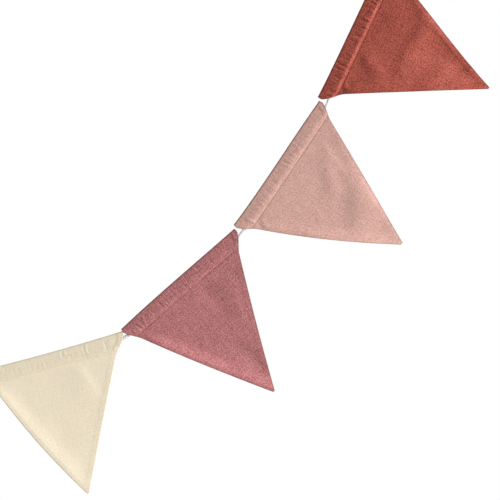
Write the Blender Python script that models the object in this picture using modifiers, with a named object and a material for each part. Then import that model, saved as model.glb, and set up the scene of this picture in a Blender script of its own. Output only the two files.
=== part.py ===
# Fabric bunting: four doubled cloth flags threaded on a cotton cord that hangs in half a swag.
# Sizes in the tables are millimetres and become metres in the model.
# World frame: +X to the right along the bunting, +Z up, the flags face -Y.
# The origin is where a hook bears on the inside of the upper hanging loop.
from math import asinh, atan, atan2, cos, exp, hypot, pi, radians, sin, sqrt

import bmesh
import bpy
from mathutils import Vector

MM = 0.001

# The cord hangs on a catenary, and each flag holds it straight over its own width
SWAG = 298.0                # the catenary's own length, its pull over its weight per length
CORD_THICK = 4.4
TOUCH = 0.3                 # gap between pieces that touch

# One flag's cloth
CASING_DEEP = 19.0          # fold edge to the row of stitching
CASING_THICK = 7.6          # over both walls, where the cord fills it
CASING_WALL = 1.0
CASING_SQUARE = 0.75        # 1 is an ellipse, less is boxier
CORD_LINE = 9.5             # fold edge to the catenary, at the middle of a flag
CLOTH_THICK = 2.2           # two pressed layers
SEAM_THICK = 3.0            # where the turned seam allowance lies inside
SEAM_STEPS = (0.0, 1.6, 6.0, 8.0)   # columns of points across the seam ridge
SEAM_RISE = (0.5, 1.0, 1.0, 0.0)    # how much of the ridge each of them has
SEAM_ROOM = 27.0            # a flag narrower than this squeezes its seams together
CLOTH_START = 18.4          # the pressed cloth begins inside the casing's lower wall
TIP_BLUNT = 2.4
END_HEM = 0.3               # the casing's hemmed ends stand out this far past the cloth
FLARE_FULL, FLARE_END = 8.0, 26.0   # the casing's ends flare down to this depth
CORNER = 4.5
FOLD_FREE, FOLD_FULL = 17.0, 34.0   # depths between which the folds come in
COLUMNS, ROWS = 20, 15
CASING_COLUMNS, CASING_RING = 24, 16

# left and right are the half widths at the fold, lean moves the tip to the right, the bows and
# flares go outward, and crown and the lifts raise the fold edge at its middle and its ends
FLAG_COLUMNS = ("name", "at", "left", "right", "drop", "lean", "bow_left", "bow_right",
                "flare_left", "flare_right", "crown", "lift_left", "lift_right", "swing")
FLAG_ROWS = (
    ("cream", 82.3, 82.6, 88.2, 176.0, 0.3, 6.0, -0.6, 4.0, 4.0, -1.0, 0.0, 0.6, 2.0),
    ("mauve", 260.9, 87.6, 90.7, 177.5, 0.6, 1.7, -1.6, 2.2, 3.6, 0.8, -0.6, 0.6, -2.0),
    ("dusty_pink", 445.4, 86.7, 90.3, 179.5, 4.7, 5.4, 0.6, 3.8, 2.4, -0.6, 1.2, -1.2, 2.5),
    ("terracotta", 632.1, 89.1, 92.6, 180.5, 4.9, 0.4, -2.4, 5.6, 4.0, 0.4, 1.2, 0.0, -2.5),
)
FLAGS = {row[0]: dict(zip(FLAG_COLUMNS, row)) for row in FLAG_ROWS}

# Soft folds, from a start to an end in a flag's own measure, a plus rise coming towards the front
FOLD_COLUMNS = ("flag", "start", "end", "wide", "rise")
FOLD_ROWS = (
    ("cream", (-78, 24), (-3, 165), 17, 3.6),
    ("cream", (34, 22), (55, 62), 8, -1.6),
    ("cream", (48, 62), (22, 130), 12, 1.8),
    ("mauve", (-80, 28), (-3, 172), 16, 3.2),
    ("mauve", (17, 26), (19, 78), 12, -2.0),
    ("mauve", (38, 98), (4, 172), 16, 2.8),
    ("dusty_pink", (31, 42), (4, 136), 13, 2.8),
    ("dusty_pink", (-30, 60), (-22, 110), 18, -1.4),
    ("terracotta", (36, 66), (-46, 62), 10, -2.2),
    ("terracotta", (-56, 45), (-28, 44), 12, 1.8),
    ("terracotta", (6, 110), (8, 160), 14, 2.0),
)
FOLDS = tuple(dict(zip(FOLD_COLUMNS, row)) for row in FOLD_ROWS)

# Places along the casings where the gathered cloth stands fuller
PUCKER_WIDE = 7.0
PUCKER_FULL = 0.16
PUCKERS = {
    "cream": (-40, 14, 43),
    "mauve": (-62, -27, 9, 45),
    "dusty_pink": (-70, -20, 30, 80),
    "terracotta": (-72, -46, -18, 20, 62),
}

# The cord's way: the flag that each point is measured from, along its fold and below it
ROUTE = (
    ("cream", -116, 2.6), ("cream", -107, 5.1), ("cream", -97, 7.6), ("cream", -86, 9.3),
    ("cream", -60, 9.9), ("cream", -20, 9.9), ("cream", 30, 9.6), ("cream", 66, 9.1),
    ("cream", 84, 8.9),
    ("mauve", -83, 11.6), ("mauve", -64, 11.6), ("mauve", -20, 11.2), ("mauve", 30, 10.8),
    ("mauve", 68, 10.6), ("mauve", 86, 10.7),
    ("dusty_pink", -86, 12.3), ("dusty_pink", -66, 12.3), ("dusty_pink", -20, 12.3),
    ("dusty_pink", 30, 12.3), ("dusty_pink", 68, 12.3), ("dusty_pink", 86, 12.2),
    ("terracotta", -88, 12.3), ("terracotta", -66, 12.4), ("terracotta", -20, 12.2),
    ("terracotta", 30, 11.8), ("terracotta", 70, 11.3), ("terracotta", 90, 11.0),
    ("terracotta", 104, 10.4), ("terracotta", 116, 9.6),
)
ROUTE_STEP = 11.0
ROUTE_FINE = 40             # points read between two of the route's own

# A barrel knot closes each hanging loop
KNOT_TURNS = 3
KNOT_CORE = 4.9
KNOT_OUT = 7.4
KNOT_LONG = KNOT_TURNS * CORD_THICK
LEG_APART = CORD_THICK + TOUCH
LEG_STRAIGHT = 3.0
LOOP_LONG = 38.0
LOOP_WIDE = 13.0            # centre line to axis, where the loop is widest
LOOP_NARROW = 1.3           # how quickly it closes towards the knot
LOOP_POINTS = 22

COLOURS = {
    "cream": (0.79, 0.69, 0.53),
    "mauve": (0.47, 0.20, 0.19),
    "dusty_pink": (0.62, 0.37, 0.31),
    "terracotta": (0.36, 0.085, 0.06),
    "cord": (0.85, 0.84, 0.82),
}


def smooth(low, high, value):
    share = min(1.0, max(0.0, (value - low) / (high - low)))
    return share * share * (3 - 2 * share)


def catenary(at):
    """Place and slope of the hanging line, measured along it from its lowest point."""
    return SWAG * asinh(at / SWAG), sqrt(SWAG * SWAG + at * at), atan(at / SWAG)


def on_flag(name, along, below):
    """A place in a flag's own measure, before the origin is moved to the upper loop."""
    x, z, slope = catenary(FLAGS[name]["at"])
    down = below - CORD_LINE
    return Vector((x + along * cos(slope) + down * sin(slope), 0,
                   z + along * sin(slope) - down * cos(slope)))


def heading(tail, tip):
    way = tip - tail
    return atan2(way.z, way.x)


def route_points():
    return [on_flag(*row) for row in ROUTE]


def end_frames():
    """Where each knot starts and which way its loop points: the lower one, then the upper one."""
    points = route_points()
    frames = []
    for tail, tip in ((points[1], points[0]), (points[-2], points[-1])):
        angle = heading(tail, tip)
        frames.append((tip + TOUCH * Vector((cos(angle), 0, sin(angle))), angle))
    return frames


def hook_point():
    """The inside of the upper loop's crown."""
    start, angle = end_frames()[1]
    reach = KNOT_LONG + TOUCH + LOOP_LONG - CORD_THICK / 2
    return start + reach * Vector((cos(angle), 0, sin(angle)))


ORIGIN = hook_point()


def world(point):
    return (point - ORIGIN) * MM


def side(flag, below, hand):
    """A slanted edge at a depth: hand is -1 on the left and 1 on the right."""
    which = "right" if hand > 0 else "left"
    share = below / flag["drop"]
    bow = flag["bow_" + which] * 4 * share * (1 - share)
    flare = flag["flare_" + which] * (1 - smooth(FLARE_FULL, FLARE_END, below))
    corner = 0.6 * max(0.0, CORNER - below)
    return flag["lean"] * share + hand * (flag[which] * (1 - share) + bow + flare - corner)


def fold_edge(flag, along):
    """How far the fold edge stands above its straight line."""
    span = along / (flag["right"] if along > 0 else flag["left"])
    lift = flag["lift_right"] if along > 0 else flag["lift_left"]
    return flag["crown"] * (1 - span * span) + lift * abs(span) ** 3


def rise(flag, along, below):
    """How far the hanging cloth comes forward."""
    total = flag["swing"] * (below / flag["drop"]) ** 2
    for fold in FOLDS:
        if fold["flag"] != flag["name"]:
            continue
        (x0, z0), (x1, z1) = fold["start"], fold["end"]
        run, fall = x1 - x0, z1 - z0
        share = ((along - x0) * run + (below - z0) * fall) / (run * run + fall * fall)
        share = min(1.0, max(0.0, share))
        away = hypot(along - x0 - share * run, below - z0 - share * fall)
        total += fold["rise"] * exp(-(away / fold["wide"]) ** 2)
    return total * smooth(FOLD_FREE, FOLD_FULL, below)


def fullness(flag, along):
    gathers = sum(exp(-((along - at) / PUCKER_WIDE) ** 2) for at in PUCKERS[flag["name"]])
    return 1 + PUCKER_FULL * gathers


def place(flag, along, forward, below):
    """A flag's point in its object's own frame."""
    up = fold_edge(flag, along) * (1 - smooth(0, FOLD_FULL, below)) - below
    return Vector((along, -forward, up)) * MM


def across(step, low, high):
    """Columns stand close together over the seams and evenly between them."""
    last = len(SEAM_STEPS) - 1
    squeeze = min(1.0, (high - low) / SEAM_ROOM)
    if step <= last:
        return low + SEAM_STEPS[step] * squeeze
    if step >= COLUMNS - last:
        return high - SEAM_STEPS[COLUMNS - step] * squeeze
    inset = SEAM_STEPS[last] * squeeze
    share = (step - last) / (COLUMNS - 2 * last)
    return low + inset + share * (high - low - 2 * inset)


def grid_steps(vertex, columns, rows):
    """Column and row of a point on a grid primitive that is two units wide, rows from the top."""
    return round((vertex.co.x + 1) * columns / 2), round((1 - vertex.co.y) * rows / 2)


def new_object(name, mesh, group):
    item = bpy.data.objects.new(name, mesh)
    group.objects.link(item)
    return item


def cloth_sheet(flag, group):
    """The pressed cloth below the casing, thickened to both sides, with its seam ridges."""
    shape = bmesh.new()
    bmesh.ops.create_grid(shape, x_segments=COLUMNS, y_segments=ROWS, size=1)
    ridge = {}
    for vertex in shape.verts:
        column, row = grid_steps(vertex, COLUMNS, ROWS)
        below = CLOTH_START + (flag["drop"] - TIP_BLUNT - CLOTH_START) * row / ROWS
        along = across(column, side(flag, below, -1), side(flag, below, 1))
        vertex.co = place(flag, along, rise(flag, along, below), below)
        from_edge = min(column, COLUMNS - column)
        ridge[vertex.index] = SEAM_RISE[from_edge] if from_edge < len(SEAM_RISE) else 0.0
    mesh = bpy.data.meshes.new("flag_" + flag["name"])
    shape.to_mesh(mesh)
    shape.free()
    item = new_object("flag_" + flag["name"], mesh, group)
    seam = item.vertex_groups.new(name="seam")
    for index, weight in ridge.items():
        seam.add([index], weight, "REPLACE")
    thicken = item.modifiers.new("layers", "SOLIDIFY")
    thicken.thickness = SEAM_THICK * MM
    thicken.offset = 0
    thicken.vertex_group = "seam"
    thicken.thickness_vertex_group = CLOTH_THICK / SEAM_THICK
    return item


def casing_tube(flag, group):
    """The open-ended casing around the cord, its ends following the slanted sides."""
    shape = bmesh.new()
    bmesh.ops.create_grid(shape, x_segments=CASING_COLUMNS, y_segments=CASING_RING, size=1)
    for vertex in shape.verts:
        column, row = grid_steps(vertex, CASING_COLUMNS, CASING_RING)
        turn = 2 * pi * (row % CASING_RING) / CASING_RING
        below = CASING_DEEP * (1 - cos(turn)) / 2
        low = side(flag, below, -1) - END_HEM
        high = side(flag, below, 1) + END_HEM
        along = low + (high - low) * column / CASING_COLUMNS
        bulge = abs(sin(turn)) ** CASING_SQUARE * fullness(flag, along) * CASING_THICK / 2
        front = bulge if sin(turn) > 0 else -bulge
        vertex.co = place(flag, along, front, below)
    bmesh.ops.remove_doubles(shape, verts=shape.verts, dist=0.01 * MM)
    mesh = bpy.data.meshes.new("casing_" + flag["name"])
    shape.to_mesh(mesh)
    shape.free()
    item = new_object("casing_" + flag["name"], mesh, group)
    wall = item.modifiers.new("wall", "SOLIDIFY")
    wall.thickness = CASING_WALL * MM
    wall.offset = -1
    item.hide_render = True
    item.display_type = "WIRE"
    return item


def hang(item, flag):
    slope = catenary(flag["at"])[2]
    item.location = world(on_flag(flag["name"], 0, 0))
    item.rotation_euler = (0, -slope, 0)


def make_flag(flag, group, cutters):
    cloth = cloth_sheet(flag, group)
    casing = casing_tube(flag, cutters)
    hang(cloth, flag)
    hang(casing, flag)
    join = cloth.modifiers.new("casing", "BOOLEAN")
    join.operation = "UNION"
    join.solver = "EXACT"
    join.object = casing
    return cloth


def smooth_way(points):
    """A Catmull-Rom line through the route's points, read at even steps."""
    ends = [2 * points[0] - points[1]] + points + [2 * points[-1] - points[-2]]
    fine = []
    for before, start, end, after in zip(ends, ends[1:], ends[2:], ends[3:]):
        for step in range(ROUTE_FINE):
            t = step / ROUTE_FINE
            fine.append(0.5 * (2 * start + (end - before) * t
                               + (2 * before - 5 * start + 4 * end - after) * t * t
                               + (3 * start - before - 3 * end + after) * t * t * t))
    fine.append(points[-1])
    total = sum((b - a).length for a, b in zip(fine, fine[1:]))
    count = round(total / ROUTE_STEP)
    way, walked, wanted = [fine[0]], 0.0, total / count
    for a, b in zip(fine, fine[1:]):
        walked += (b - a).length
        if walked >= wanted and len(way) < count:
            way.append(b)
            wanted += total / count
    return way + [fine[-1]]


def rope_curve(name, points, group, sides):
    """A round cord along points in metres."""
    line = bpy.data.curves.new(name, "CURVE")
    line.dimensions = "3D"
    line.bevel_depth = CORD_THICK / 2 * MM
    line.bevel_resolution = sides
    line.use_fill_caps = True
    spline = line.splines.new("POLY")
    spline.points.add(len(points) - 1)
    for point, target in zip(spline.points, points):
        point.co = (*target, 1)
    return new_object(name, line, group)


def knot(name, start, angle, group):
    """A turned barrel of wraps, its flat ends facing the cord and the loop's legs."""
    wrap = KNOT_OUT - KNOT_CORE
    outline = [(0.0, KNOT_LONG), (KNOT_CORE, KNOT_LONG)]
    for turn in reversed(range(KNOT_TURNS)):
        middle = (turn + 0.5) * CORD_THICK
        for degrees in (60, 30, 0, -30, -60):
            lean = radians(degrees)
            outline.append((KNOT_CORE + wrap * cos(lean), middle + CORD_THICK / 2 * sin(lean)))
    outline += [(KNOT_CORE, 0.0), (0.0, 0.0)]
    mesh = bpy.data.meshes.new(name)
    mesh.from_pydata([(r * MM, 0, z * MM) for r, z in outline],
                     [(i, i + 1) for i in range(len(outline) - 1)], [])
    item = new_object(name, mesh, group)
    turned = item.modifiers.new("turned", "SCREW")
    turned.axis = "Z"
    turned.steps = turned.render_steps = 14
    turned.use_merge_vertices = True
    turned.merge_threshold = 0.00001
    set_end(item, start, angle)
    return item


def loop(name, start, angle, group):
    """A drop-shaped eye of cord that leaves the knot in two straight legs."""
    half = LEG_APART / 2
    points = []
    for step in range(LOOP_POINTS + 1):
        turn = 2 * pi * step / LOOP_POINTS
        away = LOOP_LONG * (1 - cos(turn)) / 2
        out = LOOP_WIDE * sin(turn) * abs(sin(turn / 2)) ** LOOP_NARROW
        if abs(out) > half or away > LOOP_LONG / 2:
            points.append((out, away))
    legs = [(half, 0.0), (half, LEG_STRAIGHT)]
    points = legs + [p for p in points if p[1] > 2 * LEG_STRAIGHT]
    points += [(-x, z) for x, z in reversed(legs)]
    item = rope_curve(name, [Vector((x, 0, z)) * MM for x, z in points], group, 3)
    set_end(item, start + (KNOT_LONG + TOUCH) * Vector((cos(angle), 0, sin(angle))), angle)
    return item


def set_end(item, start, angle):
    """Turns a piece's own Z to the way the cord is heading."""
    item.location = world(start)
    item.rotation_euler = (0, pi / 2 - angle, 0)


def finish_material(item, name):
    material = bpy.data.materials.get(name) or bpy.data.materials.new(name)
    material.use_nodes = True
    shader = material.node_tree.nodes["Principled BSDF"]
    shader.inputs["Base Color"].default_value = (*COLOURS[name], 1)
    shader.inputs["Roughness"].default_value = 0.9
    shader.inputs["Metallic"].default_value = 0.0
    item.data.materials.append(material)


def new_group(name):
    group = bpy.data.collections.new(name)
    bpy.context.scene.collection.children.link(group)
    return group


def build():
    for item in list(bpy.data.objects):
        bpy.data.objects.remove(item)
    bunting = new_group("fabric_bunting")
    cutters = new_group("casings")
    for flag in FLAGS.values():
        finish_material(make_flag(flag, bunting, cutters), flag["name"])
    way = [world(point) for point in smooth_way(route_points())]
    finish_material(rope_curve("cord", way, bunting, 2), "cord")
    for end, (start, angle) in zip(("low", "high"), end_frames()):
        finish_material(knot("knot_" + end, start, angle, bunting), "cord")
        finish_material(loop("loop_" + end, start, angle, bunting), "cord")


build()
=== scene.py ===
from math import cos, pi, radians, sin

import bpy
import numpy as np
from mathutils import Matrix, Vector


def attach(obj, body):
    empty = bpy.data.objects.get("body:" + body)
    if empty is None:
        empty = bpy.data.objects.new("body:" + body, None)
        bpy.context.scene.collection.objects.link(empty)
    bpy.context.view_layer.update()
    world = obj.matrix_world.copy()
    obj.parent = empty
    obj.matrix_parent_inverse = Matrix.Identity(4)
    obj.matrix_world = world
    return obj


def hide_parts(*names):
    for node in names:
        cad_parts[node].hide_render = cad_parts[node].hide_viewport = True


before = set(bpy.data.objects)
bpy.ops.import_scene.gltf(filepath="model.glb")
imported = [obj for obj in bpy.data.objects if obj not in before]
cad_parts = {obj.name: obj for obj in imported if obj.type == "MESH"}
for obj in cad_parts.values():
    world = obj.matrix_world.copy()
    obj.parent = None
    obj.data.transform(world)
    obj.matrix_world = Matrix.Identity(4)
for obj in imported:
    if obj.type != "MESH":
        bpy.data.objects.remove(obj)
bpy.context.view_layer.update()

mm = 0.001


def smooth(low, high, value):
    share = np.clip((np.asarray(value, float) - low) / (high - low), 0, 1)
    return share * share * (3 - 2 * share)


def bell(value, wide):
    return np.exp(-(np.asarray(value, float) / wide) ** 2)


def inScene(name, data):
    thing = bpy.data.objects.new(name, data)
    bpy.context.scene.collection.objects.link(thing)
    return thing


# camera: face on, with a long lens, at the photograph's own frame
viewFrame = {"centre": (-0.1970, -0.4109), "width": 0.5921, "away": 3.2, "sensor": 36.0}


def setCamera(view):
    lens = bpy.data.cameras.new("photoView")
    lens.sensor_width = view["sensor"]
    lens.lens = view["sensor"] * view["away"] / view["width"]
    camera = inScene("photoView", lens)
    camera.location = (view["centre"][0], -view["away"], view["centre"][1])
    camera.rotation_euler = (pi / 2, 0, 0)
    bpy.context.scene.camera = camera


setCamera(viewFrame)
print("camera set")


def newPiece(name, vertices, faces, uvs=None, pressed=None):
    mesh = bpy.data.meshes.new(name)
    mesh.from_pydata(np.asarray(vertices).tolist(), [], faces)
    if uvs is not None:
        layer = mesh.uv_layers.new(name="cloth")
        layer.data.foreach_set("uv", np.asarray(uvs, np.float32).ravel())
    # the painted shade along the right edge, as an attribute for the cloth's material
    if pressed is not None:
        edges = mesh.attributes.new("pressed", "FLOAT", "POINT")
        edges.data.foreach_set("value", np.asarray(pressed, np.float32))
    mesh.shade_smooth()
    return inScene(name, mesh)


# cord: three soft plies laid round each other, 4.4 mm thick
ropeCut = {
    "thick": 4.4, "plies": 3,
    "lay": 13.5,                # along the cord for one whole turn of the plies
    "groove": (0.15, 1.3),      # how deep the grooves between plies are, and how sharp
    "swell": 0.02,              # the cord is thicker and thinner by this share
    "waves": (9.7, 23.1),       # in slow waves of these two lengths
    "sides": 24, "step": 0.9,   # points round the cord, and from one ring to the next
    "mapped": 0.1,              # the UV map's own scale along the cord, for each millimetre
    "upright": 0.9,             # a way that starts nearer to the Y axis gets other axes across it
}
cordWay = {
    # the part's own route, upper knot first
    "points": (
        (-0.01812, -0.04617), (-0.02251, -0.05737), (-0.02794, -0.07029), (-0.03620, -0.08850),
        (-0.05280, -0.12490), (-0.07376, -0.17030), (-0.09320, -0.21199), (-0.10267, -0.23185),
        (-0.10843, -0.24400), (-0.11835, -0.25902), (-0.13948, -0.29060), (-0.16729, -0.33216),
        (-0.19287, -0.37039), (-0.20399, -0.38701), (-0.21256, -0.39806), (-0.22617, -0.40984),
        (-0.25463, -0.43502), (-0.29199, -0.46826), (-0.32483, -0.49754), (-0.33913, -0.51006),
        (-0.35155, -0.51778), (-0.36884, -0.52277), (-0.40341, -0.53283), (-0.45153, -0.54643),
        (-0.49008, -0.55708), (-0.51531, -0.56342), (-0.52636, -0.56471), (-0.53667, -0.56496),
        (-0.54601, -0.56495),
    ),
    "fine": 40,
    "length": 0.788,
    "ends": {  # where each knot starts and the way it points, in radians from +X
        "high": ((-0.018010, -0.045893), 1.19682),
        "low": ((-0.546307, -0.564950), 3.14010),
    },
}


def roundedWay(points, fine):
    # a smooth curve through the points
    ends = [2 * points[0] - points[1], *points, 2 * points[-1] - points[-2]]
    way = []
    for before, start, end, after in zip(ends, ends[1:], ends[2:], ends[3:]):
        for t in np.arange(fine) / fine:
            way.append(0.5 * (2 * start + (end - before) * t
                              + (2 * before - 5 * start + 4 * end - after) * t * t
                              + (3 * start - before - 3 * end + after) * t ** 3))
    return np.array(way + [points[-1]])


def evenWay(way, step):
    walked = np.concatenate([[0], np.cumsum(np.linalg.norm(np.diff(way, axis=0), axis=1))])
    at = np.linspace(0, walked[-1], max(4, round(walked[-1] / step)) + 1)
    return np.stack([np.interp(at, walked, way[:, k]) for k in range(3)], axis=1), at


def carriedFrames(way, upright):
    # two axes across the way, carried along it without twist
    ahead = np.gradient(way, axis=0)
    ahead /= np.linalg.norm(ahead, axis=1)[:, None]
    across = [np.array([0.0, -1.0, 0.0] if abs(ahead[0][1]) < upright else [1.0, 0.0, 0.0])]
    for heading in ahead:
        last = across[-1] - heading * across[-1].dot(heading)
        across.append(last / np.linalg.norm(last))
    across = np.array(across[1:])
    return across, np.cross(ahead, across)


def layRope(name, way, cut, turn=0.0):
    # columns of points follow the plies, so that the grooves stay sharp
    rings, at = evenWay(np.asarray(way), cut["step"] * mm)
    first, second = carriedFrames(rings, cut["upright"])
    sides, (groove, sharp), (wave, slowWave) = cut["sides"], cut["groove"], cut["waves"]
    spot = 2 * pi * np.arange(sides) / sides
    plump = 1 - groove * (1 - np.abs(np.cos(cut["plies"] * spot / 2))) ** sharp
    wander = 1 + cut["swell"] * np.sin(at / (wave * mm)) * np.sin(at / (slowWave * mm) + 1)
    radius = cut["thick"] / 2 * mm * plump[None] * wander[:, None]
    angle = spot[None] + turn + 2 * pi * at[:, None] / (cut["lay"] * mm)
    skin = (rings[:, None] + (radius * np.cos(angle))[..., None] * first[:, None]
            + (radius * np.sin(angle))[..., None] * second[:, None])
    count = len(rings)
    vertices = np.concatenate([skin.reshape(-1, 3), rings[:1], rings[-1:]])
    faces, uvs = [], []
    for ring in range(count - 1):
        for side in range(sides):
            beside = (side + 1) % sides
            faces.append((ring * sides + side, ring * sides + beside,
                          (ring + 1) * sides + beside, (ring + 1) * sides + side))
            u0, u1 = side / sides, (side + 1) / sides
            v0, v1 = at[ring] / mm * cut["mapped"], at[ring + 1] / mm * cut["mapped"]
            uvs += [(u0, v0), (u1, v0), (u1, v1), (u0, v1)]
    for side in range(sides):
        beside = (side + 1) % sides
        faces.append((beside, side, count * sides))
        faces.append(((count - 1) * sides + side, (count - 1) * sides + beside,
                      count * sides + 1))
        uvs += [(side / sides, 0)] * 6
    return newPiece(name, vertices, faces, uvs), rings


cordPoints = [np.array([x, 0.0, z]) for x, z in cordWay["points"]]
cord, cordRings = layRope("cottonCord", roundedWay(cordPoints, cordWay["fine"]), ropeCut)
print("cord laid,", len(cordRings), "rings")

# a barrel knot of wraps at each end, and the loop that it closes
knotWork = {
    "turns": 2.45, "pitch": 4.3,
    "start": 1.9,               # from the cord's end to the first wrap
    "round": (5.1, 4.5),        # how far out the wraps run, to the side and to the front
    "dive": 0.2,                # over this share of a turn each end dives in
    "tucked": 0.35,             # to this share of the way out
    "angle": 0.6, "points": 150, "lay": 0.4,
}
loopWork = {
    "from": 13.5,               # from the cord's end to where the two legs leave the knot
    "long": 38.0, "wide": 13.0,
    "narrow": 1.3,              # more than 0 makes the eye a drop, narrow at the knot
    "legs": 2.35, "straight": 3.0,
    "inside": 9.0,              # the legs start this deep inside the knot
    "squeeze": 1.5,             # this far from its axis
    "pinch": (0.3, 1.0),        # and come out this much closer than the legs, this deep
    "points": 22, "fine": 12, "lay": 1.1,
}


def atEnd(place, angle, points):
    # a knot's own measure is out to its side, towards the front, and along its axis
    ahead = np.array([cos(angle), 0.0, sin(angle)])
    beside = np.array([sin(angle), 0.0, -cos(angle)])
    front = np.array([0.0, -1.0, 0.0])
    base = np.array([place[0], 0.0, place[1]])
    return [base + mm * (x * beside + y * front + z * ahead) for x, y, z in points]


def wrapWay(work):
    way = []
    for step in range(work["points"] + 1):
        share = step / work["points"]
        turn = share * work["turns"]
        toEnd = min(turn, work["turns"] - turn)
        out = work["tucked"] + (1 - work["tucked"]) * float(smooth(0, work["dive"], toEnd))
        angle = 2 * pi * turn + work["angle"]
        way.append((out * work["round"][0] * cos(angle), out * work["round"][1] * sin(angle),
                    work["start"] + work["pitch"] * turn))
    return way


def eyeWay(work):
    points = []
    for step in range(work["points"] + 1):
        turn = 2 * pi * step / work["points"]
        away = work["long"] * (1 - cos(turn)) / 2
        out = work["wide"] * sin(turn) * abs(sin(turn / 2)) ** work["narrow"]
        if away > 2 * work["straight"]:
            points.append((out, 0.0, work["from"] + away))
    closer, deeper = work["pinch"]
    legs = [(work["squeeze"], 0.0, work["from"] - work["inside"]),
            (work["legs"] - closer, 0.0, work["from"] - deeper),
            (work["legs"], 0.0, work["from"] + work["straight"])]
    return legs + points + [(-x, y, z) for x, y, z in reversed(legs)]


endPieces = []
for end, (place, angle) in cordWay["ends"].items():
    title = end.capitalize()
    wrapPoints = atEnd(place, angle, wrapWay(knotWork))
    wraps, _ = layRope("knot" + title, wrapPoints, ropeCut, knotWork["lay"])
    eyePoints = roundedWay(atEnd(place, angle, eyeWay(loopWork)), loopWork["fine"])
    eye, _ = layRope("loop" + title, eyePoints, ropeCut, loopWork["lay"])
    endPieces.append((end, wraps, eye))
print("knots tied and loops made")

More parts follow.
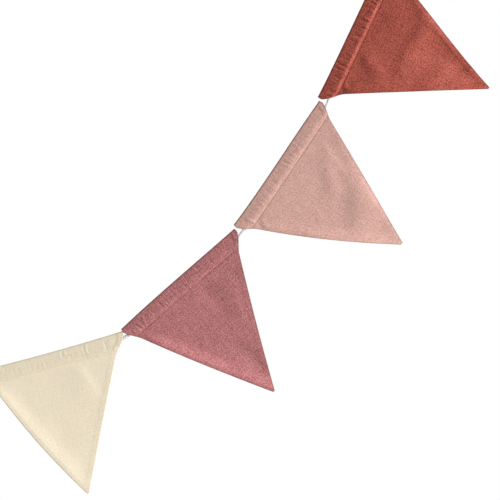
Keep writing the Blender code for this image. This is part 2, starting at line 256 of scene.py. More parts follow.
# flags, each in its own measure: millimetres along its fold and below it.
# place and slope: the middle of the fold in the world, and the cord's slope there, in radians.
# left, right, drop and lean: half widths at the fold, its distance to the tip, the tip's offset.
# bow and flare: how far each side runs outward halfway down, and at the casing.
# crown and lift: how far the fold line rises at its middle and at its two ends.
# swing, turn and ripple: the tip's way forward, the lower half's twist, the slow waves' height.
# rolls: along each side, how far inside the edge, width and rise.
# folds and creases: a line of points, the widths on its left and its right, and the rise.
# puckers: place along the casing, from and to below the fold, slant, width, and depth.
# front and forward: how far the casing's front stands out at each depth, and the cloth below it.
# ridge: how far the seam allowance stands out on the left and on the right.
# gathers and gatherDeep: how many fine gathers cross the casing, and how deep they are.
# seed: a number of its own, for its waves, gathers and stitches.
flagShapes = {
    "cream": {
        "place": (-0.434885, -0.531564), "slope": 0.269458, "left": 82.6, "right": 88.2,
        "drop": 176.0, "lean": 0.3, "bow": (6.0, -0.6), "flare": (4.0, 4.0), "crown": -1.0,
        "lift": (0.0, 0.6), "swing": 2.0, "turn": 0.02, "ripple": 0.0004,
        "rolls": ((5.0, 7.0, 0.4), (-1.0, 8.0, 0.2)),
        "folds": ((((-90, 0), (-70, 40), (-36, 104), (0, 172)), (14, 13), 1.3),
                  (((14, 4), (29, 34), (46, 76)), (20, 7), 0.72)),
        "creases": ((((-22, 50), (-14, 80), (-2, 116)), (9, 9), -0.15),),
        "puckers": ((42, 3, 14, -0.10, 1.5, -0.39), (12, 3, 10, -0.15, 1.2, 0.26),
                    (18, 3, 10, -0.15, 1.2, 0.26), (-40, 7, 16, 0.1, 1.8, 0.23),
                    (-29, 3, 12, 0.1, 1.6, 0.2), (66, 6, 17, 0.0, 2.0, 0.33),
                    (76, 4, 17, 0.2, 1.8, -0.2), (82, 3, 15, 0.2, 1.6, 0.13)),
        "front": ((0, 1.5), (2, 1.9), (5, 2.2), (8, 2.35), (11, 2.45), (13.5, 2.55), (15.5, 2.75),
                  (17.5, 2.4), (19, 1.9)),
        "forward": 0.9, "ridge": (0.12, 0.08), "gathers": 26, "gatherDeep": 0.13, "seed": 3,
    },
    "mauve": {
        "place": (-0.284318, -0.446658), "slope": 0.719115, "left": 87.6, "right": 90.7,
        "drop": 177.5, "lean": 0.6, "bow": (1.7, -1.6), "flare": (2.2, 3.6), "crown": 0.8,
        "lift": (-0.6, 0.6), "swing": -2.0, "turn": 0.03, "ripple": 0.0008,
        "rolls": ((1.5, 8.0, 5.5), (2.0, 9.0, 0.35)),
        "folds": ((((15, 2), (17, 40), (23, 82)), (8, 11), -1.0),
                  (((-84, 16), (-54, 72), (-22, 136)), (12, 15), 1.1),
                  (((-8, 84), (4, 114), (8, 140), (6, 164)), (12, 8), -1.6),
                  (((-16, 110), (-10, 136), (-4, 172)), (12, 12), 1.0)),
        "creases": ((((9, 14), (12, 46), (13, 80)), (1.8, 1.8), 0.16),
                    (((-8, 12), (-7, 28), (-9, 48)), (1.8, 1.8), 0.12),
                    (((-46, 12), (-43, 36), (-46, 60)), (2.5, 2.5), 0.17),
                    (((60, 20), (42, 54), (20, 104)), (14, 7), 0.8)),
        "puckers": ((-68, 6, 19, 0.3, 1.8, 0.9), (-62, 6, 19, -0.2, 1.5, -0.7),
                    (-44, 5, 17, 0.1, 1.6, 0.39), (-32, 4, 16, 0.1, 1.5, 0.52),
                    (-25, 4, 16, 0.1, 1.5, 0.52), (-13, 4, 15, 0.05, 1.5, 0.45),
                    (9, 3, 13, 0.0, 1.6, 0.39), (26, 3, 15, -0.05, 1.5, 0.33),
                    (45, 4, 14, -0.1, 1.8, 0.33)),
        "front": ((0, 1.5), (2, 2.0), (5, 2.45), (9, 2.85), (12, 3.1), (14.5, 3.15), (16, 3.0),
                  (18.0, 2.65), (19, 2.3)),
        "forward": 1.5, "ridge": (0.3, 0.15), "gathers": 38, "gatherDeep": 0.22, "seed": 5,
    },
    "dustyPink": {
        "place": (-0.166389, -0.308698), "slope": 0.981138, "left": 86.7, "right": 90.3,
        "drop": 179.5, "lean": 4.7, "bow": (5.4, 0.6), "flare": (3.8, 2.4), "crown": -0.6,
        "lift": (1.2, -1.2), "swing": -8.0, "turn": 0.05, "ripple": 0.0008,
        "rolls": ((1.0, 8.0, 2.0), (5.0, 6.0, 0.3)),
        "folds": ((((50, 56), (34, 92), (10, 160)), (18, 11), 2.4),
                  (((-62, 56), (-46, 92), (-23, 134), (2, 184)), (9, 8), 3.4)),
        "creases": ((((42, 36), (24, 60), (-2, 90)), (10, 9), 1.2),
                    (((30, 88), (4, 113), (-28, 136)), (12, 17), 1.5),
                    (((32, 84), (20, 112), (12, 140)), (14, 9), 0.5),
                    (((56, 18), (42, 52), (32, 90)), (8, 4), 0.5),
                    (((-60, 18), (-72, 38)), (2.0, 2.0), 0.4),
                    (((-66, 16), (-76, 32)), (1.8, 1.8), -0.3)),
        "puckers": ((-72, 7, 20, 0.2, 2.0, -0.8), (-52, 5, 16, 0.1, 1.8, 0.26),
                    (-20, 5, 16, 0.0, 1.6, 0.33), (8, 4, 16, 0.0, 1.6, 0.26),
                    (34, 4, 15, 0.0, 1.8, 0.26), (80, 8, 18, -0.2, 2.6, 0.26)),
        "front": ((0, 1.5), (2, 1.95), (5, 2.35), (9, 2.85), (12, 3.2), (14.5, 3.25), (16, 3.1),
                  (18.0, 2.75), (19, 2.45)),
        "forward": 1.5, "ridge": (0.2, 0.12), "gathers": 38, "gatherDeep": 0.2, "seed": 7,
    },
    "terracotta": {
        "place": (-0.076269, -0.147002), "slope": 1.130253, "left": 89.1, "right": 92.6,
        "drop": 180.5, "lean": 4.9, "bow": (0.4, -2.4), "flare": (5.6, 4.0), "crown": 0.4,
        "lift": (1.2, 0.0), "swing": -13.0, "turn": 0.05, "ripple": 0.0011,
        "rolls": ((1.0, 8.0, 2.4), (5.0, 6.0, 0.4)),
        "folds": ((((70, 34), (54, 66), (36, 79), (4, 73), (-54, 76)), (9, 20), 1.9),
                  (((50, 56), (32, 76), (6, 84)), (11, 24), 1.6),
                  (((-12, -16), (-23, 24), (-34, 46), (-70, 58)), (9, 10), 1.6),
                  (((76, 40), (0, 60), (-80, 66)), (26, 26), 2.5),
                  (((18, 76), (10, 118), (5, 186)), (23, 15), -3.8),
                  (((-90, -4), (-63, 50), (-38, 100), (6, 196)), (9, 10), 4.2),
                  (((26, 134), (-8, 118), (-52, 104)), (16, 18), 3.6),
                  (((36, 160), (6, 146), (-24, 132)), (9, 12), 2.6)),
        "creases": ((((8, 24), (10, 72)), (9, 9), -0.5),
                    (((54, 50), (36, 100), (22, 140)), (5, 8), 1.0),
                    (((-58, 12), (-76, 32)), (2.2, 2.2), 0.65),
                    (((-64, 12), (-80, 28)), (1.8, 1.8), -0.3),
                    (((-52, 14), (-70, 36)), (2.2, 2.2), -0.4)),
        "puckers": ((-78, 6, 17, 0.1, 1.6, 0.39), (-46, 7, 18, 0.1, 1.6, 0.52),
                    (-37, 7, 18, 0.1, 1.6, 0.52), (-18, 7, 17, 0.1, 1.6, 0.39),
                    (20, 5, 15, 0.0, 1.8, 0.26), (62, 5, 15, 0.0, 2.0, 0.26)),
        "front": ((0, 1.2), (2, 1.7), (5, 2.2), (9, 2.85), (12, 3.4), (14.3, 3.8), (15.7, 3.9),
                  (18.4, 1.9), (19, 1.7)),
        "forward": 1.0, "ridge": (0.25, 0.42), "gathers": 56, "gatherDeep": 0.5, "seed": 11,
    },
}
sewing = {
    "casing": 19.0,             # fold to the row of stitching
    "layers": 1.08,             # half the thickness of the two pressed layers
    "slant": 0.89,              # across a side from a distance along the fold
    "allowance": (5.2, 8.0),    # the turned seam allowance runs out this far from the edge
    "round": 0.9,               # how round the turned edge is
    "pressed": (0.3, 1.5),      # painted shade along the right edge, which faces the key light, fades out between these distances from it
    "foldRound": 1.7,           # how round the fold is, over the cord
    "back": ((0, 1.3), (3, 2.1), (7, 2.9), (11, 3.1), (15, 2.2), (19, 0.2)),
    "blunt": 2.4,               # the tip is cut short by this
    "hem": 0.3,                 # the casing's turned ends stand out past the cloth
    "hemLift": 0.25,            # and are thicker by this as far as the hem runs in
    "hemWide": (5.6, 6.8),
    "lip": (0.2, 0.6),          # their rim is thinner by this share, and rounded this far in
    "shut": (13.5, 0.05, 7.0),  # the ends close from here to just over the stitching, this far in
    "corner": (4.5, 0.6),       # the casing's corners are nipped above this depth, at this slope
    "flareFrom": (8.0, 26.0),   # depths between which the flare ends
    "foldFrom": (17.0, 34.0),   # and between which folds, rolls and creases come in
    "rollFrom": (17.0, 52.0),
    "creaseFrom": (19.0, 23.0),
    "turnFrom": (50.0, 140.0),  # and the twist
    "fade": (0.42, 48.0),       # a fold dies out at each end in this share of its way, or sooner
    "groove": (0.4, 1.0),       # how deep and wide the stitching pulls in
    "join": (0.5, 0.01),        # the casing becomes the cloth this close to the stitching
    "shiftIn": 4.0,             # the cloth goes forward between here and the stitching
    "shiftOut": (40.0, 150.0),  # and comes back to the middle between these depths
    "inner": (1.1, 18.2),       # where the tunnel in the casing starts and ends
    "wall": 0.55,               # the cloth's thickness between it and the outside
    "tunnel": (0.12, 0.72),     # half its height is at least this, and at most this share
}
puckerShape = {
    "rim": (0.45, 2.3),         # a pucker's raised sides: their share of its depth and width
    "start": 2.5,               # it comes in over this much on both sides of its upper end
    "end": (2.0, 1.5),          # and dies out over this much above and below its lower end
}
slowWaves = {"count": 9, "length": (16, 60), "start": 6.3}
gatherWork = {"along": (-88, 90), "from": (2, 9), "to": (13, 18.6), "slant": (-0.2, 0.2),
              "wide": (0.9, 1.9), "deep": (0.5, 1.5)}
tableLine = {"from": -4, "to": 27, "step": 0.1, "soft": 0.6, "reach": 12}
clothGrid = {
    # from a side inward, and then evenly between the two sides
    "edge": (0, 0.12, 0.35, 0.75, 1.3, 2.0, 3.0, 4.1, 5.1, 5.8, 6.4, 7.0, 7.7, 8.8),
    "middle": 176, "innerColumns": 40,
    "room": 2.3,                # a row narrower than this times the last one squeezes them
    # rows from the tip up: the tip's own, then even ones that leave gaps to the closer rows
    "tip": (0, 0.15, 0.4, 0.8, 1.4, 2.2, 3.2),
    "rowStep": 1.5, "gaps": (1.0, 0.7),
    "stitch": (21.6, 21.0, 20.5, 20.1, 19.8, 19.5, 19.25, 19.0),
    "casing": (18.75, 18.5, 18.2, 17.8, 17.3, 16.8, 16.2, 15.5, 14.8, 14.0, 13.2, 12.4, 11.6,
               10.8, 10.0, 9.2, 8.4, 7.6, 6.8, 6.0, 5.2, 4.5, 3.8, 3.2, 2.6, 2.1, 1.6, 1.2,
               0.85, 0.55, 0.3, 0.13, 0.03),
    "apart": 0.4,               # metres between the UV maps of the front, back and tunnel
}


def sideAt(flag, below, hand):
    which = 1 if hand > 0 else 0
    half = flag["right"] if hand > 0 else flag["left"]
    share = below / flag["drop"]
    bow = flag["bow"][which] * 4 * share * (1 - share)
    flare = flag["flare"][which] * (1 - smooth(*sewing["flareFrom"], below))
    nip = sewing["corner"][1] * np.maximum(0, sewing["corner"][0] - below)
    return flag["lean"] * share + hand * (half * (1 - share) + bow + flare - nip)


def foldLine(flag, along):
    span = np.where(along > 0, along / flag["right"], along / flag["left"])
    lift = np.where(along > 0, flag["lift"][1], flag["lift"][0])
    return flag["crown"] * (1 - span ** 2) + lift * np.abs(span) ** 3


def stripes(along, below, rows):
    # bell-shaped ridges, or troughs, along lines of points
    total = np.zeros(np.broadcast(along, below).shape)
    for points, (leftWide, rightWide), lift in rows:
        walked, nearest = 0.0, np.full(total.shape, np.inf)
        reach, onLeft = np.zeros(total.shape), np.zeros(total.shape, bool)
        for (x0, z0), (x1, z1) in zip(points, points[1:]):
            run, fall = x1 - x0, z1 - z0
            long = (run * run + fall * fall) ** 0.5
            share = np.clip(((along - x0) * run + (below - z0) * fall) / long ** 2, 0, 1)
            aside, under = along - x0 - share * run, below - z0 - share * fall
            away = np.hypot(aside, under)
            near = away < nearest
            nearest = np.where(near, away, nearest)
            reach = np.where(near, walked + share * long, reach)
            onLeft = np.where(near, run * under > fall * aside, onLeft)
            walked += long
        fade = min(sewing["fade"][0] * walked, sewing["fade"][1])
        ends = smooth(0, fade, reach) * (1 - smooth(walked - fade, walked, reach))
        total += lift * ends * bell(nearest, np.where(onLeft, leftWide, rightWide))
    return total


def ripples(flag, along, below):
    # a seeded sum of slow waves, so that no cloth is quite flat
    dice = np.random.default_rng(flag["seed"])
    total = np.zeros(np.broadcast(along, below).shape)
    for _ in range(slowWaves["count"]):
        length, heading = dice.uniform(*slowWaves["length"]), dice.uniform(0, pi)
        start = dice.uniform(0, slowWaves["start"])
        wave = (along * cos(heading) + below * sin(heading)) * 2 * pi / length
        total += flag["ripple"] * length * np.sin(wave + start)
    return total


def hang(flag, along, below):
    # how far forward the middle of the doubled cloth is
    share = below / flag["drop"]
    total = flag["swing"] * share ** 2
    total = total + stripes(along, below, flag["folds"]) * smooth(*sewing["foldFrom"], below)
    for hand, (inset, wide, lift) in zip((-1, 1), flag["rolls"]):
        away = hand * (sideAt(flag, below, hand) - along) * sewing["slant"] - inset
        total = total + lift * bell(away, wide) * smooth(*sewing["rollFrom"], below)
    fine = stripes(along, below, flag["creases"]) + ripples(flag, along, below)
    total = total + fine * smooth(*sewing["creaseFrom"], below)
    total = total - flag["turn"] * (along - flag["lean"]) * smooth(*sewing["turnFrom"], below)
    shift = smooth(sewing["shiftIn"], sewing["casing"], below)
    shift = shift * (1 - smooth(*sewing["shiftOut"], below))
    return total + flag["forward"] * shift


def gatherRows(flag, face):
    # the fine gathers along a casing, each with its place, its reach, its width and its depth
    dice = np.random.default_rng(flag["seed"] * 10 + face)
    rows = []
    for _ in range(flag["gathers"]):
        row = [dice.uniform(*gatherWork[part]) for part in ("along", "from", "to", "slant", "wide")]
        side = dice.choice((-1, 1))
        rows.append((*row, side * flag["gatherDeep"] * dice.uniform(*gatherWork["deep"])))
    return rows


def puckered(flag, along, below, face):
    rows = gatherRows(flag, face) + (list(flag["puckers"]) if face > 0 else [])
    (rim, rimWide), start, (over, under) = (puckerShape[part] for part in ("rim", "start", "end"))
    total = np.zeros(np.broadcast(along, below).shape)
    for at, low, high, slant, wide, deep in rows:
        away = along - at - slant * (below - sewing["casing"])
        reach = smooth(low - start, low + start, below)
        reach = reach * (1 - smooth(high - over, high + under, below))
        total += (rim * bell(away, rimWide * wide) - bell(away, wide)) * deep * reach
    return total


def softLine(rows, value):
    # a table's values with its corners rounded off
    fine = np.arange(tableLine["from"], tableLine["to"], tableLine["step"])
    line = np.interp(fine, *zip(*rows))
    reach = tableLine["reach"]
    kernel = bell(np.arange(-reach, reach + 1) * tableLine["step"], tableLine["soft"])
    kernel /= kernel.sum()
    return np.interp(value, fine, np.convolve(np.pad(line, reach, "edge"), kernel, "valid"))


def quarterRound(value, radius):
    return np.sqrt(1 - (1 - np.clip(value / radius, 0, 1)) ** 2)


def faceAt(flag, along, below, edge, face):
    # how far forward the front (1) or the back (-1) of a flag is
    deep = sewing["casing"]
    middle = hang(flag, along, below)
    lift = np.where(along > 0, flag["ridge"][1], flag["ridge"][0])
    ridge = lift * (1 - smooth(*sewing["allowance"], edge))
    pull = sewing["groove"][0] * bell(below - deep, sewing["groove"][1])
    cloth = (sewing["layers"] + ridge - pull) * quarterRound(edge, sewing["round"])
    field = middle + face * cloth
    line = softLine(flag["front"] if face > 0 else sewing["back"], below)
    hem = sewing["hemLift"] * (1 - smooth(*sewing["hemWide"], edge))
    full = line + puckered(flag, along, below, face) + hem
    thinner, lipRound = sewing["lip"]
    lip = 1 - thinner * (1 - quarterRound(edge, lipRound))
    casing = face * full * quarterRound(below, sewing["foldRound"]) * lip
    shutFrom, shutOver, shutWide = sewing["shut"]
    shut = smooth(shutFrom, deep - shutOver, below) * (1 - smooth(0, shutWide, edge))
    casing = casing * (1 - shut) + field * shut
    blend, limit = sewing["join"]
    inCasing = 1 - smooth(deep - blend, deep + blend, below)
    return np.where(below < deep - limit, casing * inCasing + field * (1 - inCasing), field)


def ownPlace(flag, along, below, forward):
    # from a flag's own measure to the world
    up = foldLine(flag, along) * (1 - smooth(0, sewing["foldFrom"][1], below)) - below
    slope = flag["slope"]
    x = flag["place"][0] + mm * (along * cos(slope) - up * sin(slope))
    z = flag["place"][1] + mm * (along * sin(slope) + up * cos(slope))
    return np.stack(np.broadcast_arrays(x, -forward * mm, z), axis=-1)


def acrossAt(flag, below):
    # the places of a row's points along the fold, and of its two ends
    low = sideAt(flag, below, -1) - sewing["hem"] * (below < sewing["casing"])
    high = sideAt(flag, below, 1) + sewing["hem"] * (below < sewing["casing"])
    inset = np.array(clothGrid["edge"])
    squeeze = np.minimum(1, (high - low) / (clothGrid["room"] * inset[-1]))
    middle = np.linspace(0, 1, clothGrid["middle"] + 1)[None, 1:-1]
    start, end = low + inset[-1] * squeeze, high - inset[-1] * squeeze
    return np.concatenate([low + inset * squeeze, start + (end - start) * middle,
                           high - inset[::-1] * squeeze], axis=1), low, high


def tunnelWall(flag, below, face):
    # the wall inside the casing: its points, and their places along the fold and below it
    highest, lowest = sewing["inner"]
    inside = highest + (lowest - highest) * below / sewing["casing"]
    low = sideAt(flag, below, -1) - sewing["hem"]
    high = sideAt(flag, below, 1) + sewing["hem"]
    along = low + (high - low) * np.linspace(0, 1, clothGrid["innerColumns"] + 1)[None]
    inside = inside + 0 * along
    edge = np.minimum(along - low, high - along) * sewing["slant"]
    front, back = (faceAt(flag, along, inside, edge, hand) for hand in (1, -1))
    half = (front - back) / 2
    least, share = sewing["tunnel"]
    gap = np.minimum(np.maximum(least, half - sewing["wall"]), share * half)
    gap[0] = 0
    gap[below[:, 0] == 0] = 0
    return ownPlace(flag, along, inside, (front + back) / 2 + face * gap), along, inside


def sewFlag(name, flag):
    # rows run from the tip up the front, over the fold and down the back to the tip
    end = flag["drop"] - sewing["blunt"]
    tipGap, stitchGap = clothGrid["gaps"]
    field = np.arange(end - clothGrid["tip"][-1] - tipGap, clothGrid["stitch"][0] + stitchGap,
                      -clothGrid["rowStep"])
    front = np.concatenate([end - np.array(clothGrid["tip"]), field, clothGrid["stitch"],
                            clothGrid["casing"]])
    below = np.concatenate([front, [0.0], front[::-1]])[:, None]
    along, low, high = acrossAt(flag, below)
    rows, columns = along.shape
    top = len(front)
    seamRow = top - len(clothGrid["casing"]) - 1
    edge = np.minimum(np.minimum(along - low, high - along) * sewing["slant"], end - below)
    edge = np.maximum(0, edge)
    forward = np.where(np.arange(rows)[:, None] <= top, faceAt(flag, along, below, edge, 1),
                       faceAt(flag, along, below, edge, -1))
    points = ownPlace(flag, along, below, forward)

    # the faces meet along the sides and at the tip, and the casing stays open at its ends
    number = np.arange(rows * columns).reshape(rows, columns)
    mirror = rows - 1 - np.arange(rows)
    for row in range(top + 1, rows):
        if mirror[row] <= seamRow:
            number[row, 0], number[row, -1] = number[mirror[row], 0], number[mirror[row], -1]
    number[-1] = number[0]
    quads, uvs = [], []
    apart = clothGrid["apart"]
    for row in range(rows - 1):
        shift = apart if row >= top else 0.0
        for column in range(columns - 1):
            spots = ((row, column), (row, column + 1), (row + 1, column + 1), (row + 1, column))
            quads.append([int(number[spot]) for spot in spots])
            uvs += [(along[spot] * mm + shift, below[spot[0], 0] * mm) for spot in spots]

    # the tunnel's wall has a ring of points for each row of the casing, and its ends are closed
    # to the casing's own
    ringRows = np.arange(seamRow, 2 * top - seamRow)
    face = np.where(ringRows <= top, 1, -1)[:, None]
    pointsIn, alongIn, insideIn = tunnelWall(flag, below[ringRows], face)
    count, across = alongIn.shape
    inner = rows * columns + np.arange(count * across).reshape(count, across)
    for ring in range(count):
        after = (ring + 1) % count
        for column in range(across - 1):
            spots = ((ring, column), (after, column), (after, column + 1), (ring, column + 1))
            quads.append([int(inner[spot]) for spot in spots])
            uvs += [(alongIn[spot] * mm + 2 * apart, insideIn[spot] * mm) for spot in spots]
        here, following = ringRows[ring], ringRows[ring] + 1
        for column, columnIn, turned in ((0, 0, 1), (columns - 1, across - 1, -1)):
            rim = [int(number[here, column]), int(number[following, column]),
                   int(inner[after, columnIn]), int(inner[ring, columnIn])]
            quads.append(rim if turned > 0 else [rim[1], rim[0], rim[3], rim[2]])
            uvs += [(alongIn[ring, columnIn] * mm, insideIn[ring, columnIn] * mm)] * 4

    vertices = np.concatenate([points.reshape(-1, 3), pointsIn.reshape(-1, 3)])
    # painted shade along the right edge, which faces the key light, full at the edge and fading
    # inward
    pressed = np.zeros(len(vertices))
    fromRight = (high - along) * sewing["slant"]
    pressed[:rows * columns] = (1 - smooth(*sewing["pressed"], fromRight)).ravel()
    used = np.zeros(len(vertices), bool)
    used[np.array(quads)] = True
    renumber = np.cumsum(used) - 1
    return newPiece(name, vertices[used], renumber[np.array(quads)].tolist(), uvs, pressed[used])


flags = {}
for key, shape in flagShapes.items():
    title = "flag" + key[0].upper() + key[1:]
    flags[key] = sewFlag(title, shape)
    print(title, "sewn,", len(flags[key].data.polygons), "faces")

# node work: arithmetic on a Wire adds Math nodes, and every other node comes from Bench.add


class Wire:
    def __init__(self, bench, socket):
        self.bench, self.socket = bench, socket

    def maths(self, operation, first, second=0.0):
        return self.bench.add("ShaderNodeMath", {"operation": operation}, {0: first, 1: second})

    def __add__(self, other):
        return self.maths("ADD", self, other)

    def __radd__(self, other):
        return self.maths("ADD", other, self)

    def __sub__(self, other):
        return self.maths("SUBTRACT", self, other)

    def __rsub__(self, other):
        return self.maths("SUBTRACT", other, self)

    def __mul__(self, other):
        return self.maths("MULTIPLY", self, other)

    def __rmul__(self, other):
        return self.maths("MULTIPLY", other, self)

    def __truediv__(self, other):
        return self.maths("DIVIDE", self, other)

    def __abs__(self):
        return self.maths("ABSOLUTE", self)

    def sine(self):
        return self.maths("SINE", self)


class Bench:
    def __init__(self, tree):
        self.tree = tree

    def add(self, kind, settings=None, inputs=None, output=0):
        node = self.tree.nodes.new(kind)
        for name, value in (settings or {}).items():
            setattr(node, name, value)
        self.plug(node, inputs or {})
        return Wire(self, node.outputs[output]) if len(node.outputs) else node

    def plug(self, node, inputs):
        for name, value in inputs.items():
            if isinstance(value, Wire):
                self.tree.links.new(value.socket, node.inputs[name])
            else:
                node.inputs[name].default_value = value


def clothMaterial(name, settings, build):
    material = bpy.data.materials.new(name)
    material.use_nodes = True
    bench = Bench(material.node_tree)
    shader = material.node_tree.nodes["Principled BSDF"]
    bench.plug(shader, settings)
    bench.plug(shader, build(bench))
    return material


def tinted(bench, dark, light, share):
    # from one colour to another by a share over the surface
    return bench.add("ShaderNodeMix", {"data_type": "RGBA", "clamp_factor": True},
                     {0: share, 6: (*dark, 1), 7: (*light, 1)}, 2)


linen = {
    "yarn": 0.00082,            # from one yarn to the next
    "slub": (0.0007, 0.0120),   # a thick place in a yarn: how wide and how long
    "fleck": 0.0016,            # the size of small spots of dye
    "cloud": 0.03,              # and of wide pale and dark areas
    "noise": {"Scale": 1.0, "Detail": 1.0, "Roughness": 0.5},
    "bend": 1.2,                # how far a yarn wanders from its line, in radians of the weave
    "over": (0.3, 0.35),        # how high the yarns stand where they cross, and along them
    "uneven": {"warp": 0.7, "weft": 0.6, "fleck": 1.8, "cloud": 0.1},   # what makes dye uneven
    "paintedWeaveShade": (0.4, 0.3),       # the weave has painted shade below this height and painted highlight above it, this much
    "pressedDark": 0.8,         # and painted shade along the right edge, which faces the key light, this much
    "deepDye": 0.15,            # darker yarns are richer in colour by this power
    "slubHigh": 0.9,            # how high the slubs stand
    "bump": {"Strength": 0.55, "Distance": 0.00022},
    "finish": {"Roughness": 0.62, "Specular IOR Level": 0.25, "Subsurface Weight": 0.25,
               "Subsurface Radius": (1.0, 0.55, 0.5), "Subsurface Scale": 0.0012},
}
# the cloth's colour, how far the darkest and palest yarns are from it, how uneven the dye is, and
# how much painted shade darkens the casing, where the cloth lies doubled over the cord
linenColours = {
    "cream": {"colour": (0.804, 0.711, 0.543), "spread": 0.2, "uneven": 0.32, "doubled": 0.13},
    "mauve": {"colour": (0.428, 0.149, 0.149), "spread": 0.5, "uneven": 0.95, "doubled": 0.0},
    "dustyPink": {"colour": (0.610, 0.348, 0.293), "spread": 0.45, "uneven": 0.6,
                  "doubled": 0.0},
    "terracotta": {"colour": (0.372, 0.068, 0.044), "spread": 0.5, "uneven": 1.15,
                   "doubled": 0.0},
}


def clothMap(bench):
    # the UV map's two values, in metres across and down the cloth
    place = bench.add("ShaderNodeUVMap", {"uv_map": "cloth"})
    flat = bench.add("ShaderNodeSeparateXYZ", {}, {0: place})
    return flat, Wire(bench, flat.socket.node.outputs[1])


def noise(bench, spot, settings):
    return bench.add("ShaderNodeTexNoise", {"noise_dimensions": "3D"},
                     {"Vector": spot, **settings})


def weave(bench, dye):
    across, down = clothMap(bench)
    wide, long = linen["slub"]

    def streaks(first, second, salt):
        spot = bench.add("ShaderNodeCombineXYZ", {}, {0: first, 1: second, 2: salt})
        return noise(bench, spot, linen["noise"])

    warp = streaks(across / wide, down / long, 0.3)
    weft = streaks(across / long, down / wide, 7.7)
    cloud = streaks(across / linen["cloud"], down / linen["cloud"], 5.2)
    fleck = streaks(across / linen["fleck"], down / linen["fleck"], 2.9)
    overWarp = (across * (pi / linen["yarn"]) + warp * linen["bend"]).sine()
    overWeft = (down * (pi / linen["yarn"]) + weft * linen["bend"]).sine()
    crossed, alone = linen["over"]
    height = overWarp * overWeft * crossed + (abs(overWarp) + abs(overWeft)) * alone
    parts = linen["uneven"]
    share = (warp * parts["warp"] + weft * parts["weft"] + fleck * parts["fleck"]
             + cloud * parts["cloud"] - sum(parts.values()) / 2)
    level, paintedWeaveShade = linen["paintedWeaveShade"]
    # the casing's mask, for its painted shade
    inCasing = bench.add("ShaderNodeMath", {"operation": "LESS_THAN"},
                         {0: down, 1: sewing["casing"] * mm})
    # painted shade along the right edge, which faces the key light
    pressed = bench.add("ShaderNodeAttribute", {"attribute_name": "pressed"}, {}, 2)
    # painted shade in the weave's hollows and painted highlight on its crossings
    shade = 0.5 + share * dye["uneven"] + (height - level) * paintedWeaveShade
    shade = shade - inCasing * dye["doubled"] - pressed * linen["pressedDark"]
    rich = [(part / max(dye["colour"])) ** linen["deepDye"] for part in dye["colour"]]
    dark = [(1 - dye["spread"]) * part * more for part, more in zip(dye["colour"], rich)]
    light = [(1 + dye["spread"]) * part / more for part, more in zip(dye["colour"], rich)]
    relief = height + (warp + weft) * linen["slubHigh"]
    bump = bench.add("ShaderNodeBump", {}, {**linen["bump"], "Height": relief})
    return {"Base Color": tinted(bench, dark, light, shade), "Normal": bump}


linens = {}
for key, dye in linenColours.items():
    linens[key] = clothMaterial("linen" + key[0].upper() + key[1:], linen["finish"],
                                lambda bench: weave(bench, dye))
    flags[key].data.materials.append(linens[key])

cotton = {
    "yarns": 7, "lean": 2.6,    # in each ply, and their turns for each unit of the UV map
    "fibres": (14, 9),          # how fine the fibres are round the cord and along it
    "noise": {"Scale": 1.0, "Detail": 3.0, "Roughness": 0.6},
    "bend": 2,                  # how far the fibres bend the yarns, in radians
    # gap: painted shade in the grooves between the plies
    "shade": {"top": 1.05, "gap": 0.55, "yarns": 0.09, "fuzz": 0.5},
    "fuzzHigh": 1.5,
    "bump": {"Strength": 0.6, "Distance": 0.00016},
    "dark": (0.74, 0.73, 0.735), "light": (0.85, 0.845, 0.85),
    "finish": {"Roughness": 0.88, "Specular IOR Level": 0.2, "Sheen Weight": 0.3,
               "Sheen Roughness": 0.5, "Subsurface Weight": 1.0,
               "Subsurface Radius": (1.0, 1.0, 1.0), "Subsurface Scale": 0.014},
}


def twist(bench):
    around, down = clothMap(bench)
    acrossFibres, alongFibres = cotton["fibres"]
    spot = bench.add("ShaderNodeCombineXYZ", {},
                     {0: around * acrossFibres, 1: down * alongFibres, 2: 0.0})
    fuzz = noise(bench, spot, cotton["noise"])
    plies, parts = ropeCut["plies"], cotton["shade"]
    yarns = (around * (2 * pi * plies * cotton["yarns"]) - down * (2 * pi * cotton["lean"])
             + fuzz * cotton["bend"]).sine()
    # painted shade darkens the grooves between the plies
    gap = abs((around * (plies * pi)).sine())
    shade = (parts["top"] - gap * gap * gap * parts["gap"] + yarns * parts["yarns"]
             + (fuzz - 0.5) * parts["fuzz"])
    bump = bench.add("ShaderNodeBump", {}, {**cotton["bump"],
                                            "Height": yarns + fuzz * cotton["fuzzHigh"]})
    return {"Base Color": tinted(bench, cotton["dark"], cotton["light"], shade), "Normal": bump}


cottonWhite = clothMaterial("cottonWhite", cotton["finish"], twist)
for _, wraps, eye in endPieces:
    wraps.data.materials.append(cottonWhite)
    eye.data.materials.append(cottonWhite)
cord.data.materials.append(cottonWhite)
print("linen woven and cotton twisted")

# stitches: one row closes each casing, with a few sewn back over it at both ends
threadWork = {
    "pitch": 2.9, "long": 2.35, "thick": 0.5,
    "uneven": 0.12,             # stitches are longer and shorter by this share
    "proud": 0.05,              # how far they stand out of the cloth
    "inset": 1.6,               # from a side to the first one
    "back": 9.0, "beside": 0.55,            # how far the row is sewn back, and beside itself
    "sway": (0.12, 5.3),        # the row isn't quite straight, in waves this deep and slow
    "step": 1.0,
    "tints": (0.8, 1.15),       # the thread's darkest and palest, of its colour
    "noise": {"Scale": 2600.0, "Detail": 2.0, "Roughness": 0.6},
    "bump": {"Strength": 0.5, "Distance": 0.0001},
    "finish": {"Roughness": 0.7, "Specular IOR Level": 0.3},
}
threadColours = {"cream": (0.90, 0.72, 0.56), "mauve": (0.43, 0.18, 0.18),
                 "dustyPink": (0.64, 0.38, 0.32), "terracotta": (0.38, 0.09, 0.065)}


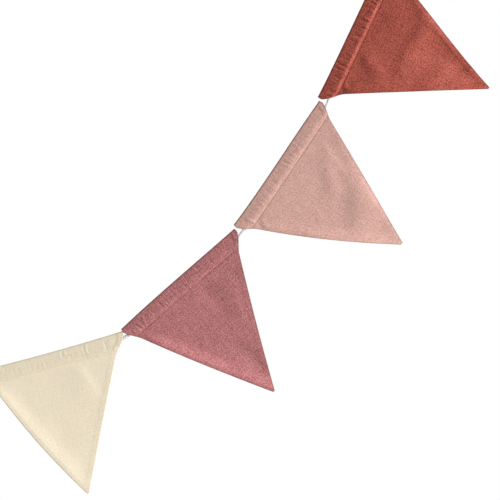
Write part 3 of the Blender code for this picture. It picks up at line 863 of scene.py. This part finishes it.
def stitchTree():
    tree = bpy.data.node_groups.new("machineStitches", "GeometryNodeTree")
    sockets = {}
    tree.interface.new_socket("Rows", in_out="INPUT", socket_type="NodeSocketGeometry")
    for title, kind in (("Pitch", "NodeSocketFloat"), ("Long", "NodeSocketFloat"),
                        ("Thick", "NodeSocketFloat"), ("Uneven", "NodeSocketFloat"),
                        ("Seed", "NodeSocketInt"), ("Thread", "NodeSocketMaterial")):
        sockets[title] = tree.interface.new_socket(title, in_out="INPUT", socket_type=kind)
    tree.interface.new_socket("Stitches", in_out="OUTPUT", socket_type="NodeSocketGeometry")
    bench = Bench(tree)
    given = bench.add("NodeGroupInput")
    wires = {socket.name: Wire(bench, socket) for socket in given.socket.node.outputs}
    rows = bench.add("GeometryNodeMeshToCurve", {}, {"Mesh": wires["Rows"]})
    spots = bench.add("GeometryNodeCurveToPoints", {"mode": "LENGTH"},
                      {"Curve": rows, "Length": wires["Pitch"]})
    turning = Wire(bench, spots.socket.node.outputs["Rotation"])
    ball = bench.add("GeometryNodeMeshUVSphere", {}, {"Segments": 7, "Rings": 5, "Radius": 0.5})
    size = bench.add("ShaderNodeCombineXYZ", {}, {0: wires["Thick"], 1: wires["Thick"],
                                                  2: wires["Long"]})
    stitch = bench.add("GeometryNodeTransform", {}, {"Geometry": ball, "Scale": size})
    smoothed = bench.add("GeometryNodeSetShadeSmooth", {}, {"Geometry": stitch})
    uneven = bench.add("FunctionNodeRandomValue", {"data_type": "FLOAT"},
                       {"Min": 1 - wires["Uneven"], "Max": 1 + wires["Uneven"],
                        "Seed": wires["Seed"]}, 1)
    put = bench.add("GeometryNodeInstanceOnPoints", {},
                    {"Points": spots, "Instance": smoothed, "Rotation": turning,
                     "Scale": uneven})
    real = bench.add("GeometryNodeRealizeInstances", {}, {"Geometry": put})
    dyed = bench.add("GeometryNodeSetMaterial", {}, {"Geometry": real,
                                                     "Material": wires["Thread"]})
    bench.add("NodeGroupOutput", {}, {"Stitches": dyed})
    return tree, {title: socket.identifier for title, socket in sockets.items()}


def stitchRows(flag):
    # lines of points along the faces, just proud of the cloth
    work, deep = threadWork, sewing["casing"]
    swayDeep, swayLong = work["sway"]
    low = float(sideAt(flag, deep, -1)) + work["inset"]
    high = float(sideAt(flag, deep, 1)) - work["inset"]
    rows = []
    for face in (1, -1):
        spans = [(low, high, deep)]
        for start, end in ((low, low + work["back"]), (high - work["back"], high)):
            spans.append((start, end, deep + work["beside"]))
        for start, end, below in spans:
            along = np.linspace(start, end, max(3, round((end - start) / work["step"])))
            belows = below + swayDeep * np.sin(along / swayLong + face)
            edge = np.minimum(along - low, high - along) + work["inset"]
            forward = faceAt(flag, along, belows, edge, face) + face * work["proud"]
            rows.append(ownPlace(flag, along, belows, forward))
    return rows


def runStitches(name, rows, tree, names, settings):
    points, edges = [], []
    for row in rows:
        edges += [(len(points) + k, len(points) + k + 1) for k in range(len(row) - 1)]
        points += row.tolist()
    mesh = bpy.data.meshes.new(name + "Rows")
    mesh.from_pydata(points, edges, [])
    guide = inScene(name + "Rows", mesh)
    sewn = guide.modifiers.new("stitches", "NODES")
    sewn.node_group = tree
    for title, value in settings.items():
        sewn[names[title]] = value
    plain = bpy.data.meshes.new_from_object(
        guide.evaluated_get(bpy.context.evaluated_depsgraph_get()))
    plain.name = name
    guide.modifiers.clear()
    bpy.data.objects.remove(guide)
    return inScene(name, plain)


def thread(bench, colour):
    place = bench.add("ShaderNodeTexCoord", {}, {}, 3)
    lumps = noise(bench, place, threadWork["noise"])
    dark, light = ([min(1, tint * part) for part in colour] for tint in threadWork["tints"])
    bump = bench.add("ShaderNodeBump", {}, {**threadWork["bump"], "Height": lumps})
    return {"Base Color": tinted(bench, dark, light, lumps), "Normal": bump}


tree, socketNames = stitchTree()
stitches = {}
for key, shape in flagShapes.items():
    title = key[0].upper() + key[1:]
    dyed = clothMaterial("thread" + title, threadWork["finish"],
                         lambda bench: thread(bench, threadColours[key]))
    stitches[key] = runStitches(
        "stitches" + title, stitchRows(shape), tree, socketNames,
        {"Pitch": threadWork["pitch"] * mm, "Long": threadWork["long"] * mm,
         "Thick": threadWork["thick"] * mm, "Uneven": threadWork["uneven"],
         "Seed": shape["seed"], "Thread": dyed})
    print("stitches" + title, len(stitches[key].data.polygons), "faces")

# studio: a white surround, a soft key light on the right, a softer one behind, and a pale round
# floor far below
studio = {
    "surround": 0.22,
    "key": {"from": (0.87, -0.38, 0.316), "power": 4.85, "soft": 16},
    "back": {"from": (0.45, 0.88, 0.2), "power": 1.8, "soft": 60},
    "floor": {"below": 1.05, "reach": 3.4, "sides": 160, "colour": (0.86, 0.86, 0.85)},
}


def shine(name, settings):
    lamp = bpy.data.lights.new(name, "SUN")
    lamp.energy, lamp.angle = settings["power"], radians(settings["soft"])
    heading = Vector(settings["from"]).to_track_quat("Z", "Y")
    inScene(name, lamp).rotation_euler = heading.to_euler()


def lightStudio(room):
    world = bpy.data.worlds.new("whiteSurround")
    bpy.context.scene.world = world
    world.use_nodes = True
    bench = Bench(world.node_tree)
    seen = bench.add("ShaderNodeLightPath")
    soft = bench.add("ShaderNodeBackground", {}, {"Color": (1, 1, 1, 1),
                                                  "Strength": room["surround"]})
    white = bench.add("ShaderNodeBackground", {}, {"Color": (1, 1, 1, 1), "Strength": 1.0})
    both = bench.add("ShaderNodeMixShader", {}, {0: seen, 1: soft, 2: white})
    bench.plug(world.node_tree.nodes["World Output"], {"Surface": both})
    shine("keyLight", room["key"])
    shine("backLight", room["back"])
    reach, low = room["floor"]["reach"], -room["floor"]["below"]
    middle = viewFrame["centre"][0]
    turns = [2 * pi * step / room["floor"]["sides"] for step in range(room["floor"]["sides"])]
    rim = [(middle + reach * cos(turn), reach * sin(turn), low) for turn in turns]
    floor = newPiece("paleFloor", rim, [tuple(range(len(rim)))])
    floor.data.materials.append(clothMaterial(
        "palePaint", {"Roughness": 0.8, "Base Color": (*room["floor"]["colour"], 1)},
        lambda bench: {}))
    bpy.context.scene.view_settings.view_transform = "Standard"


lightStudio(studio)
print("studio lit")

# which piece stands in for which solid
bowedShare = 0.52               # a flag's area for its width times its drop: its sides bow out
nodeNames = {"cream": "cream", "mauve": "mauve", "dustyPink": "dusty_pink",
             "terracotta": "terracotta"}
for key, node in nodeNames.items():
    flag, shape = flags[key], flagShapes[key]
    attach(flag, "root")
    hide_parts("flag_" + node)
    node + "_linen"
    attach(stitches[key], "root")
    node + "_linen"
    wide = (shape["left"] + shape["right"]) * mm
    long = shape["drop"] * mm
    bowedShare * wide * long
for end, wraps, eye in endPieces:
    for piece, node in ((wraps, "knot_"), (eye, "loop_")):
        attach(piece, "root")
        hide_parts(node + end)
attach(cord, "root")
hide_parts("cord")
